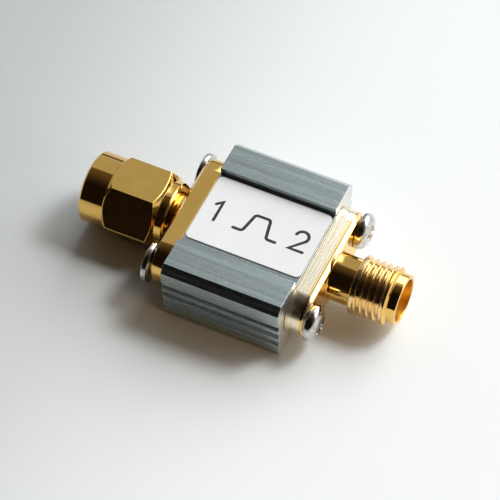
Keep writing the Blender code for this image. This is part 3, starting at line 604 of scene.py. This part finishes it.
def add_floor():
    """The tabletop, tipped slightly so that the nut and the housing's right edge stand on it."""
    nut_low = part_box("coupling_nut")[0]
    left = Vector((nut_low.x, 0.0, nut_low.z - NUT_CLEARANCE))
    right = Vector((HOUSING_HIGH.x, 0.0, HOUSING_LOW.z - HOUSING_CLEARANCE))
    shape = bmesh.new()
    bmesh.ops.create_grid(shape, x_segments=1, y_segments=1, size=FLOOR_HALF)
    floor = as_object("floor", shape)
    floor.rotation_euler.y = -math.atan2(right.z - left.z, right.x - left.x)
    floor.location = right
    material, nodes, shader = new_material("tabletop", FLOOR_ROUGHNESS,
                                           Specular_IOR_Level=FLOOR_SPECULAR)
    paper = nodes.mix(nodes.noise(*FLOOR_GRAIN), FLOOR_LOW, FLOOR_HIGH)
    # Painted shade: the tabletop's colour darkens towards the left
    lit = nodes.ramp(nodes.dot(nodes.coordinates(), SHADE_DIRECTION), *SHADE_SPAN_MM)
    nodes.feed(shader, "Base Color", nodes.mix(lit, FLOOR_SHADED, paper))
    floor.data.materials.append(material)


def add_card():
    """A dark board beyond the nut, out of the camera's sight, that draws its dark outlines."""
    shape = bmesh.new()
    low = [shape.verts.new((x, y, CARD_LOW)) for x, y in CARD_FOOT]
    high = [shape.verts.new((x, y, CARD_HIGH)) for x, y in CARD_FOOT]
    for i in range(len(CARD_FOOT) - 1):
        shape.faces.new((low[i], low[i + 1], high[i + 1], high[i]))
    card = as_object("card", shape)
    material, nodes, shader = new_material("card_paper", CARD_ROUGHNESS,
                                           Specular_IOR_Level=CARD_SPECULAR)
    nodes.feed(shader, "Base Color", nodes.mix(nodes.noise(*CARD_GRAIN), CARD_DARK, CARD_LIGHT))
    card.data.materials.append(material)
    card.visible_camera = False
    card.visible_diffuse = False
    card.visible_shadow = False


def fillet(points, radius, closed=True, steps=3):
    """Round the corners of an outline. A point's third value is a radius of its own."""
    rounded = []
    count = len(points)
    for i, point in enumerate(points):
        corner = Vector(point[:2])
        reach = point[2] if len(point) > 2 else radius
        ends = (i == 0 or i == count - 1) and not closed
        before = Vector(points[i - 1][:2]) - corner
        after = Vector(points[(i + 1) % count][:2]) - corner
        if ends or reach == 0 or before.length == 0 or after.length == 0:
            rounded.append(tuple(corner))
            continue
        angle = before.angle(after)
        if angle > STRAIGHT:
            rounded.append(tuple(corner))
            continue
        room = FILLET_SHARE * min(before.length, after.length)
        cut = min(reach / math.tan(angle / 2), room)
        first = corner + before.normalized() * cut
        last = corner + after.normalized() * cut
        bulge = math.cos((math.pi - angle) / 2)
        for k in range(steps + 1):
            t = k / steps
            weights = ((1 - t) ** 2, 2 * t * (1 - t) * bulge, t * t)
            total = sum(weights)
            spot = first * weights[0] + corner * weights[1] + last * weights[2]
            rounded.append(tuple(spot / total))
    return rounded


def tidy_shape(shape):
    """Merge points that coincide and turn all faces outwards."""
    bmesh.ops.remove_doubles(shape, verts=shape.verts, dist=MERGE_DISTANCE)
    bmesh.ops.dissolve_degenerate(shape, edges=shape.edges, dist=SMALLEST_EDGE)
    bmesh.ops.recalc_face_normals(shape, faces=shape.faces)
    return shape


def lathe(rows, side, steps=ROUND_STEPS, y=0.0, closed=True):
    """Turn rows of (place, radius) about X; a row may also be a function of the turn's share."""
    shape = bmesh.new()
    columns = []
    for j in range(steps + 1):
        share = j / steps
        angle = 2 * math.pi * share
        column = []
        for row in rows:
            place, radius = row(share) if callable(row) else row
            column.append(shape.verts.new((side * place, y + radius * math.cos(angle),
                                           AXIS_Z + side * radius * math.sin(angle))))
        columns.append(column)
    span = len(rows) if closed else len(rows) - 1
    for first, second in zip(columns, columns[1:]):
        for i in range(span):
            k = (i + 1) % len(rows)
            shape.faces.new((first[i], first[k], second[k], second[i]))
    return tidy_shape(shape)


def thread_rows(start, end, crest, depth):
    """Rows of one right-handed thread that fades out at both ends."""
    half_root = THREAD_PITCH / 2 - THREAD_FLAT - abs(depth) * math.tan(THREAD_FLANK)
    turn = fillet([(0.0, 0.0), (THREAD_FLAT, 0.0), (THREAD_PITCH / 2 - half_root, depth),
                   (THREAD_PITCH / 2 + half_root, depth), (THREAD_PITCH - THREAD_FLAT, 0.0),
                   (THREAD_PITCH, 0.0)], THREAD_ROUND, closed=False)[:-1]
    rows = []
    for k in range(-1, math.ceil((end - start) / THREAD_PITCH) + 1):
        for along, down in turn:
            def row(share, offset=k * THREAD_PITCH + along, down=down):
                place = min(max(start + offset + share * THREAD_PITCH, start), end)
                near = min(min(place - start, end - place) / THREAD_FADE, 1.0)
                return place, crest + down * near * near * (3 - 2 * near)
            rows.append(row)
    return rows


def solid_through(rings):
    """A closed solid through rings of equally many points."""
    shape = bmesh.new()
    rings = [[shape.verts.new(point) for point in ring] for ring in rings]
    for lower, upper in zip(rings, rings[1:]):
        for i in range(len(lower)):
            shape.faces.new((lower[i - 1], lower[i], upper[i], upper[i - 1]))
    shape.faces.new(rings[0])
    shape.faces.new(rings[-1])
    return tidy_shape(shape)


def extruded(sections):
    """A solid along X through (x, outline) sections, each outline in (y, z)."""
    return solid_through([[(x, y, z) for y, z in outline] for x, outline in sections])


def stacked(sections):
    """A solid rising along Z through (z, outline) sections, each outline in (x, y)."""
    return solid_through([[(x, y, z) for x, y in outline] for z, outline in sections])


def circle(radius, y=0.0, steps=HOLE_STEPS):
    """Closed outline in (y, z) about the connectors' height."""
    return [(y + radius * math.cos(2 * math.pi * i / steps),
             AXIS_Z + radius * math.sin(2 * math.pi * i / steps)) for i in range(steps)]


def boolean(shape, tool, operation="DIFFERENCE"):
    """Combine two shapes exactly and give back the result."""
    objects = [as_object("part", shape), as_object("part", tool)]
    modifier = objects[0].modifiers.new("part", "BOOLEAN")
    modifier.operation = operation
    modifier.object = objects[1]
    modifier.solver = "EXACT"
    result = bmesh.new()
    result.from_object(objects[0], bpy.context.evaluated_depsgraph_get())
    for obj in objects:
        mesh = obj.data
        bpy.data.objects.remove(obj, do_unlink=True)
        bpy.data.meshes.remove(mesh)
    return tidy_shape(result)


def soften(shape, edges, width, segments=2):
    """Round the given edges of a shape."""
    bmesh.ops.bevel(shape, geom=edges, offset=width, segments=segments, profile=0.5,
                    affect="EDGES", clamp_overlap=True)
    return tidy_shape(shape)


def add_piece(name, shape, material, nodes=(), body="filter"):
    """Make a shape a piece of the object that rides on a body and stands for its nodes."""
    piece = as_object(name, shape)
    piece.data.materials.append(material)
    piece.data.shade_smooth()
    piece.data.set_sharp_from_angle(angle=PIECE_SHARP)
    normals = piece.modifiers.new("normals", "WEIGHTED_NORMAL")
    normals.keep_sharp = True
    normals.weight = 100
    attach(piece, body)
    if nodes:
        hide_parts(*nodes)


def oval(width, length, steps=40):
    """Flange outline in (y, z) with half-round ends along Y."""
    reach = (length - width) / 2
    points = []
    for centre, start in ((reach, -math.pi / 2), (-reach, math.pi / 2)):
        for i in range(steps + 1):
            angle = start + math.pi * i / steps
            points.append((centre + width / 2 * math.cos(angle),
                           AXIS_Z + width / 2 * math.sin(angle)))
    return points


def flange_shape(side):
    """Oval plate with a chamfered outer edge, its opening and two screw holes.

    The female plate's edge falls a little towards its outer end, as its light in the photo shows.
    """
    fall = FLANGE_FALL if side > 0 else 0.0
    profile = fillet([(FLANGE_INNER, INNER_FACE_INSET), (FLANGE_INNER, 0.0),
                      (FLANGE_OUTER - FLANGE_CHAMFER, fall),
                      (FLANGE_OUTER, FLANGE_CHAMFER + fall / 2),
                      (FLANGE_OUTER, OUTER_FACE_INSET)], FLANGE_EDGE, closed=False)
    shape = extruded([(side * x, oval(FLANGE_HEIGHT - 2 * inset, FLANGE_WIDTH - 2 * inset))
                      for x, inset in profile])
    reach = 2 * FLANGE_OUTER
    for radius, y, steps in ((OPENING_RADIUS, 0.0, ROUND_STEPS),
                             (FLANGE_HOLE_RADIUS, SCREW_Y, HOLE_STEPS),
                             (FLANGE_HOLE_RADIUS, -SCREW_Y, HOLE_STEPS)):
        outline = circle(radius, y, steps)
        shape = boolean(shape, extruded([(0.0, outline), (side * reach, outline)]))
    return shape


def flared(radius):
    """Outline points where a turned barrel runs out into its flange."""
    points = [(FLANGE_INNER, LINE_RADIUS, 0), (FLANGE_INNER, radius + BARREL_FILLET, 0)]
    for i in range(FILLET_STEPS + 1):
        angle = math.pi / 2 * i / FILLET_STEPS
        points.append((FLANGE_OUTER + BARREL_FILLET * (1 - math.cos(angle)),
                       radius + BARREL_FILLET * (1 - math.sin(angle)), 0))
    return points


def female_body_shape():
    """Flange, barrel, collar, threaded nose and bore, turned in one piece."""
    thread_start = (THREAD_X, THREAD_RADIUS)
    outline = flared(BARREL_RADIUS)
    outline += [(COLLAR_X, BARREL_RADIUS, COLLAR_FOOT_ROUND),
                (COLLAR_X, THREAD_RADIUS, COLLAR_ROUND), (*thread_start, 0),
                (NOSE_X, THREAD_RADIUS, EDGE),
                (NOSE_X + (THREAD_RADIUS - NOSE_RADIUS) / 2, NOSE_RADIUS, NOSE_FOOT_ROUND),
                (FEMALE_RIM, NOSE_RADIUS, RIM_ROUND), (FEMALE_RIM, BORE_RADIUS, RIM_ROUND),
                (FEMALE_RIM - BORE_DEPTH, BORE_RADIUS, EDGE),
                (FEMALE_RIM - BORE_DEPTH, LINE_RADIUS, EDGE)]
    rows = []
    for point in fillet(outline, EDGE):
        rows.append(point)
        if (Vector(point) - Vector(thread_start)).length < SAME_POINT:
            rows += thread_rows(THREAD_X, THREAD_END, THREAD_RADIUS, -THREAD_DEPTH)
    return boolean(lathe(rows, 1), flange_shape(1), "UNION")


def male_body_shape():
    """Flange, nut journal with its ring groove, and mating shell."""
    groove_end = RING_GROOVE_X + RING_WIDTH + SEAT_GAP
    journal_end = MALE_FACE - SHELL_LENGTH
    outline = flared(JOURNAL_RADIUS)
    outline += [(RING_GROOVE_X - SEAT_GAP, JOURNAL_RADIUS),
                (RING_GROOVE_X - SEAT_GAP, RING_GROOVE_RADIUS),
                (groove_end, RING_GROOVE_RADIUS), (groove_end, JOURNAL_RADIUS),
                (journal_end, JOURNAL_RADIUS), (journal_end, SHELL_RADIUS),
                (MALE_FACE, SHELL_RADIUS), (MALE_FACE, LINE_RADIUS)]
    return boolean(lathe(fillet(outline, EDGE), -1), flange_shape(-1), "UNION")


def nut_shape():
    """Hexagonal nut with a round front and boss, a threaded bore and a ring pocket."""
    corner = NUT_CORNER + CORNER_ROOM
    boss_end = NUT_REAR + NUT_BOSS_LENGTH
    nose_start = NUT_FRONT - NUT_NOSE_LENGTH
    minor = THREAD_RADIUS - THREAD_DEPTH
    mouth = NUT_FRONT - THREAD_DEPTH
    thread_end = NUT_FRONT - NUT_THREAD_LENGTH
    relief_end = thread_end - THREAD_DEPTH
    lip_end = relief_end - NUT_RELIEF_LENGTH
    pocket_end = lip_end - NUT_LIP_LENGTH
    pocket = RING_GROOVE_X - RUNNING_GAP
    outline = [(NUT_REAR, NUT_HOLE_RADIUS), (NUT_REAR, NUT_BOSS_RADIUS - NUT_BOSS_CHAMFER),
               (NUT_REAR + NUT_BOSS_CHAMFER, NUT_BOSS_RADIUS), (boss_end, NUT_BOSS_RADIUS),
               (boss_end + NUT_REAR_SLOPE, corner, 0), (nose_start - NUT_FRONT_SLOPE, corner, 0),
               (nose_start, NUT_NOSE_RADIUS), (NUT_FRONT - NUT_NOSE_CHAMFER, NUT_NOSE_RADIUS),
               (NUT_FRONT, NUT_NOSE_RADIUS - NUT_NOSE_CHAMFER), (NUT_FRONT, THREAD_RADIUS),
               (mouth, minor, 0), (thread_end, minor, 0), (relief_end, NUT_RELIEF_RADIUS),
               (lip_end, NUT_RELIEF_RADIUS), (lip_end, NUT_HOLE_RADIUS),
               (pocket_end, NUT_HOLE_RADIUS), (pocket_end, NUT_RING_RADIUS),
               (pocket, NUT_RING_RADIUS), (pocket, NUT_HOLE_RADIUS)]
    rows = []
    for point in fillet(outline, EDGE):
        rows.append(point)
        if (Vector(point) - Vector((mouth, minor))).length < SAME_POINT:
            rows += thread_rows(thread_end, mouth, minor, THREAD_DEPTH)[::-1]
    angles = [NUT_TURN + math.pi / 6 + i * math.pi / 3 for i in range(6)]
    hexagon = [(-NUT_CORNER * math.sin(angle), AXIS_Z + NUT_CORNER * math.cos(angle))
               for angle in angles]
    block = extruded([(-NUT_REAR + BLOCK_ROOM, hexagon), (-NUT_FRONT - BLOCK_ROOM, hexagon)])
    shape = boolean(lathe(rows, -1), block, "INTERSECT")
    edges = []
    for edge in shape.edges:
        outer = all(math.hypot(v.co.y, v.co.z - AXIS_Z) > NUT_HALF_FLATS - FLATS_ROOM
                    for v in edge.verts)
        if outer and edge.calc_face_angle(0.0) > NUT_SHARP:
            edges.append(edge)
    return soften(shape, edges, NUT_EDGE, 3)


def inset_outline(points, distance):
    """Move each corner of a closed outline inwards by the same distance."""
    moved = []
    for i, point in enumerate(points):
        here = Vector(point)
        before = (here - Vector(points[i - 1])).normalized()
        after = (Vector(points[(i + 1) % len(points)]) - here).normalized()
        normal = Vector((-before.y - after.y, before.x + after.x))
        normal.normalize()
        stretch = normal.dot(Vector((-before.y, before.x)))
        moved.append(tuple(here + normal * distance / max(stretch, LEAST_INSET_STRETCH)))
    return moved


def housing_shape():
    """The ribbed bar with its label channel, end edges, hollow and screw holes."""
    top = HOUSING_HIGH.z
    right = [(CHANNEL_WIDTH / 2, top - CHANNEL_DEPTH), (CHANNEL_WIDTH / 2, top),
             (HALF_WIDTH - TOP_CHAMFER, top), (HALF_WIDTH, top - TOP_CHAMFER)]
    for i in range(GROOVE_COUNT):
        middle = top - FIRST_GROOVE_DROP - i * GROOVE_PITCH
        right += [(HALF_WIDTH, middle + GROOVE_MOUTH / 2),
                  (HALF_WIDTH - GROOVE_DEPTH, middle + GROOVE_FLAT / 2, EDGE),
                  (HALF_WIDTH - GROOVE_DEPTH, middle - GROOVE_FLAT / 2, EDGE),
                  (HALF_WIDTH, middle - GROOVE_MOUTH / 2)]
    right += [(HALF_WIDTH, BASE_CHAMFER), (HALF_WIDTH - BASE_CHAMFER, 0.0)]
    left = [(-point[0], *point[1:]) for point in reversed(right)]
    outer = fillet(right + left, HOUSING_EDGE)[::-1]
    high = AXIS_Z + CAVITY_HEIGHT / 2
    low = AXIS_Z - CAVITY_HEIGHT / 2
    half = CAVITY_WIDTH / 2
    right = [(half, low, CAVITY_CORNER), (half, SLOT_LOW), (half + SLOT_DEPTH, SLOT_LOW),
             (half + SLOT_DEPTH, SLOT_HIGH), (half, SLOT_HIGH), (half, high, CAVITY_CORNER)]
    left = [(-point[0], *point[1:]) for point in reversed(right)]
    inner = fillet(right + left, EDGE)
    sections = []
    angles = [math.pi / 2 * i / 3 for i in range(4)]
    for side in (-1, 1):
        for angle in (angles if side < 0 else angles[::-1]):
            place = side * (HALF_LENGTH - END_EDGE * (1 - math.cos(angle)))
            sections.append((place, inset_outline(outer, END_EDGE * (1 - math.sin(angle)))))
    shape = extruded(sections)
    reach = 2 * HALF_LENGTH
    shape = boolean(shape, extruded([(-reach, inner), (reach, inner)]))
    for side in (-1, 1):
        for y in (-SCREW_Y, SCREW_Y):
            outline = circle(SCREW_HOLE_RADIUS, y, SCREW_HOLE_STEPS)
            end = side * (SCREW_TIP - SCREW_END_ROOM)
            shape = boolean(shape, extruded([(end, outline), (side * reach, outline)]))
    return shape


def screw_shape(side, y, turn, radius, height, rim, depth, domed):
    """Cross-recessed screw whose head seats on the flange."""
    seat = FLANGE_OUTER + SEAT_GAP
    top = seat + height
    outline = [(SCREW_TIP, 0.0), (SCREW_TIP, SHANK_RADIUS - SHANK_CHAMFER),
               (SCREW_TIP + SHANK_CHAMFER, SHANK_RADIUS), (seat, SHANK_RADIUS),
               (seat, radius - HEAD_EDGE), (seat + HEAD_EDGE / 3, radius - HEAD_EDGE / 3),
               (seat + HEAD_EDGE, radius)]
    rise = height - rim
    for i in range(HEAD_STEPS + 1):
        angle = math.pi / 2 * i / HEAD_STEPS
        if domed:
            reach = radius * math.cos(angle) ** DOME_FULLNESS
        else:
            reach = radius - rise + rise * math.cos(angle)
        outline.append((seat + rim + rise * math.sin(angle), reach))
    if domed:
        outline.pop()
    outline.append((top, 0.0))
    shape = lathe(outline, side, SCREW_STEPS, y, closed=False)
    for arm in (0.0, math.pi / 2):
        cos, sin = math.cos(turn + arm), math.sin(turn + arm)
        sections = []
        for place, (span, width) in ((top - depth, RECESS_FOOT), (top + depth, RECESS_MOUTH)):
            box = fillet([(-span / 2, -width / 2), (span / 2, -width / 2),
                          (span / 2, width / 2), (-span / 2, width / 2)], RECESS_CORNER, steps=2)
            sections.append((side * place, [(y + u * cos - v * sin, AXIS_Z + u * sin + v * cos)
                                            for u, v in box]))
        shape = boolean(shape, extruded(sections))
    edges = []
    for edge in shape.edges:
        close = all(math.hypot(v.co.y - y, v.co.z - AXIS_Z) < RECESS_REACH
                    and abs(v.co.x) > top - depth - 2 * HEAD_EDGE for v in edge.verts)
        if close and edge.calc_face_angle(0.0) > RECESS_SHARP:
            edges.append(edge)
    return soften(shape, edges, RECESS_EDGE)


def rounded_rectangle(length, width, radius, centre_y, steps=8):
    """Closed outline in (x, y) with round corners."""
    points = []
    for i, (sx, sy) in enumerate(((1, 1), (-1, 1), (-1, -1), (1, -1))):
        for k in range(steps + 1):
            angle = math.pi / 2 * (i + k / steps)
            points.append((sx * (length / 2 - radius) + radius * math.cos(angle),
                           centre_y + sy * (width / 2 - radius) + radius * math.sin(angle)))
    return points


def label_shape():
    """Thin film with round corners and a soft cut edge."""
    length = LABEL_HIGH.x - LABEL_LOW.x
    width = LABEL_HIGH.y - LABEL_LOW.y
    centre = (LABEL_LOW.y + LABEL_HIGH.y) / 2
    sections = [(LABEL_LOW.z, rounded_rectangle(length, width, LABEL_CORNER, centre))]
    for i in range(4):
        angle = math.pi / 2 * i / 3
        inset = LABEL_EDGE * (1 - math.cos(angle))
        outline = rounded_rectangle(length - 2 * inset, width - 2 * inset, LABEL_CORNER - inset,
                                    centre)
        sections.append((LABEL_HIGH.z - LABEL_EDGE + LABEL_EDGE * math.sin(angle), outline))
    return stacked(sections)


def ribbon(points, width, steps=6):
    """Closed outline of a stroke with round ends along open (x, y) points."""
    half = width / 2
    left, right = [], []
    for i, point in enumerate(points):
        here = Vector(point)
        before = (here - Vector(points[i - 1])).normalized() if i else None
        after = (Vector(points[i + 1]) - here).normalized() if i < len(points) - 1 else None
        along = ((before or after) + (after or before)).normalized()
        normal = Vector((-along.y, along.x))
        stretch = half / max(abs(along.dot(after or before)), LEAST_STROKE_STRETCH)
        left.append(tuple(here + normal * stretch))
        right.append(tuple(here - normal * stretch))
    caps = []
    for end, other in ((-1, -2), (0, 1)):
        centre = Vector(points[end])
        out = (centre - Vector(points[other])).normalized()
        start = math.atan2(out.y, out.x) + math.pi / 2
        caps.append([(centre.x + half * math.cos(start - math.pi * k / steps),
                      centre.y + half * math.sin(start - math.pi * k / steps))
                     for k in range(1, steps)])
    return left + caps[0] + right[::-1] + caps[1]


def arc(centre, radius, start, end, steps=16):
    """Points along a circle from one angle to another, in degrees."""
    return [(centre[0] + radius * math.cos(math.radians(start + (end - start) * i / steps)),
             centre[1] + radius * math.sin(math.radians(start + (end - start) * i / steps)))
            for i in range(steps + 1)]


def marks_shape():
    """Plain port numbers 1 and 2 with a pass-band curve between them, as thin ink."""
    y = (LABEL_LOW.y + LABEL_HIGH.y) / 2
    two = arc(*DIGIT_TWO_BOW) + DIGIT_TWO_FOOT
    curve = fillet(PASS_BAND, PASS_BAND_ROUND, closed=False, steps=6)
    shape = bmesh.new()
    for centre, stroke in ((-DIGIT_X, DIGIT_ONE), (DIGIT_X, two), (0.0, curve)):
        outline = ribbon([((centre + u) * MM, y + v * MM) for u, v in stroke], INK_WIDTH)
        part = stacked([(LABEL_HIGH.z - INK_SINK, outline), (LABEL_HIGH.z + INK_RISE, outline)])
        mesh = bpy.data.meshes.new("stroke")
        part.to_mesh(mesh)
        part.free()
        shape.from_mesh(mesh)
        bpy.data.meshes.remove(mesh)
    return shape


def dress(name, material):
    """Give a carried-over node its material and smooth shading."""
    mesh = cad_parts[name].data
    mesh.materials.clear()
    mesh.materials.append(material)
    mesh.shade_smooth()
    mesh.set_sharp_from_angle(angle=NODE_SHARP)


add_camera()
add_world()
for lamp in LAMPS:
    area_lamp(*lamp)
add_floor()
add_card()

# Stretches of the turnings that carry a painted highlight along their milling lines: start, end and
# share
plate_highlight = (FLANGE_INNER - EDGE, FLANGE_INNER + HIGHLIGHT_PLATE_LENGTH, 1.0)
chamfer_highlight = (FLANGE_OUTER - FLANGE_CHAMFER, FLANGE_OUTER - EDGE, 0.8)
thread_highlight = (COLLAR_X, NOSE_X, 0.35)
gold = gold_material("gold_plate", POLISHED)
female_gold = gold_material("female_gold_plate", POLISHED, [plate_highlight, chamfer_highlight, thread_highlight],
                            FEMALE_LINE_HEIGHT_MM, BORE_RADIUS)
male_gold = gold_material("male_gold_plate", HANDLED, [chamfer_highlight], MALE_LINE_HEIGHT_MM)
aluminium = aluminium_material()
steel = steel_material()
label = label_material()
plain = {name: plain_material(name, *values) for name, values in PLAIN_MATERIALS.items()}

add_piece("housing_bar", housing_shape(), aluminium, ["housing"])
add_piece("label_film", label_shape(), label, ["label"])
add_piece("label_marks", marks_shape(), plain["label_ink"])
add_piece("female_turning", female_body_shape(), female_gold, ["female_body"])
add_piece("male_turning", male_body_shape(), male_gold, ["male_body"])
add_piece("nut_turning", nut_shape(), gold, ["coupling_nut"], body="nut")
for node, side, across, turn, head in SCREWS:
    shape = screw_shape(side, across * SCREW_Y, math.radians(turn), *head)
    add_piece(node + "_turning", shape, steel, [node])

for name in ("female_contact", "male_pin"):
    dress(name, gold)
for name in ("female_dielectric", "male_dielectric"):
    dress(name, plain["insulator"])
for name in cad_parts:
    if "solder" in name:
        dress(name, plain["solder_metal"])
    elif "inductor" in name or "capacitor" in name or "chip" in name:
        dress(name, plain["chip_ceramic"])
dress("circuit_board", plain["laminate"])
dress("retaining_ring", plain["spring_bronze"])
dress("nut_gasket", plain["silicone"])

bpy.context.scene.view_settings.view_transform = "Standard"
